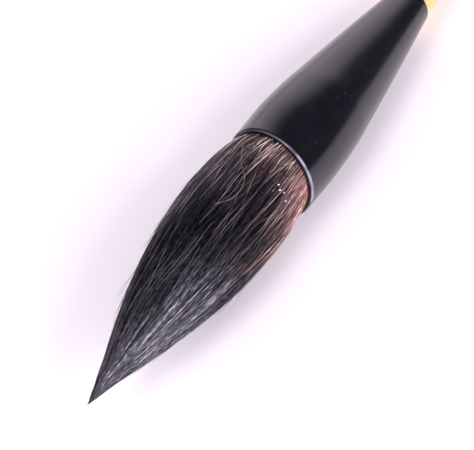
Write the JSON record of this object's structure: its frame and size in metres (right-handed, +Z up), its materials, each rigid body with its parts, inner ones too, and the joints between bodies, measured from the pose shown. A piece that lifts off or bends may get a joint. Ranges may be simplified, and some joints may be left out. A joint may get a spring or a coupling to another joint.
{
  "type": "calligraphy brush",
  "caption": "Large calligraphy brush: pointed tuft of layered dark hair in a trumpet-shaped black ferrule, with a hollow bamboo shaft and a black tail cap.",
  "frame": {"origin": "on the table, under the middle of the brush's bounding box, with the brush lying at rest", "axes": "+Z up from the table, +Y along the brush towards the tail, tip towards -Y, +X to the side"},
  "size_m": [0.0244, 0.285, 0.0254],
  "materials": {
    "cover_hair": "fine animal hair, black with a soft blue-grey sheen",
    "inner_hair": "fine animal hair, brown to reddish brown",
    "core_hair": "stiffer pale animal hair",
    "thread": "waxed cotton thread",
    "resin": "dark amber rosin, glossy",
    "glue": "set adhesive, semi-gloss",
    "black_gloss": "polished black, with a faint navy cast and fine scratches",
    "dowel_wood": "plain turned hardwood",
    "bamboo": "polished golden bamboo with fine lengthwise fibres"
  },
  "bodies": {
    "root": {"outer_hair": "cover_hair", "belly_hair": "inner_hair", "core_hair": "core_hair", "root_binding": "thread", "root_resin": "resin", "socket_glue": "glue", "ferrule": "black_gloss", "tenon_glue": "glue", "tenon_dowel": "dowel_wood", "shaft": "bamboo", "tail_cap": "black_gloss"}
  },
  "joints": []
}
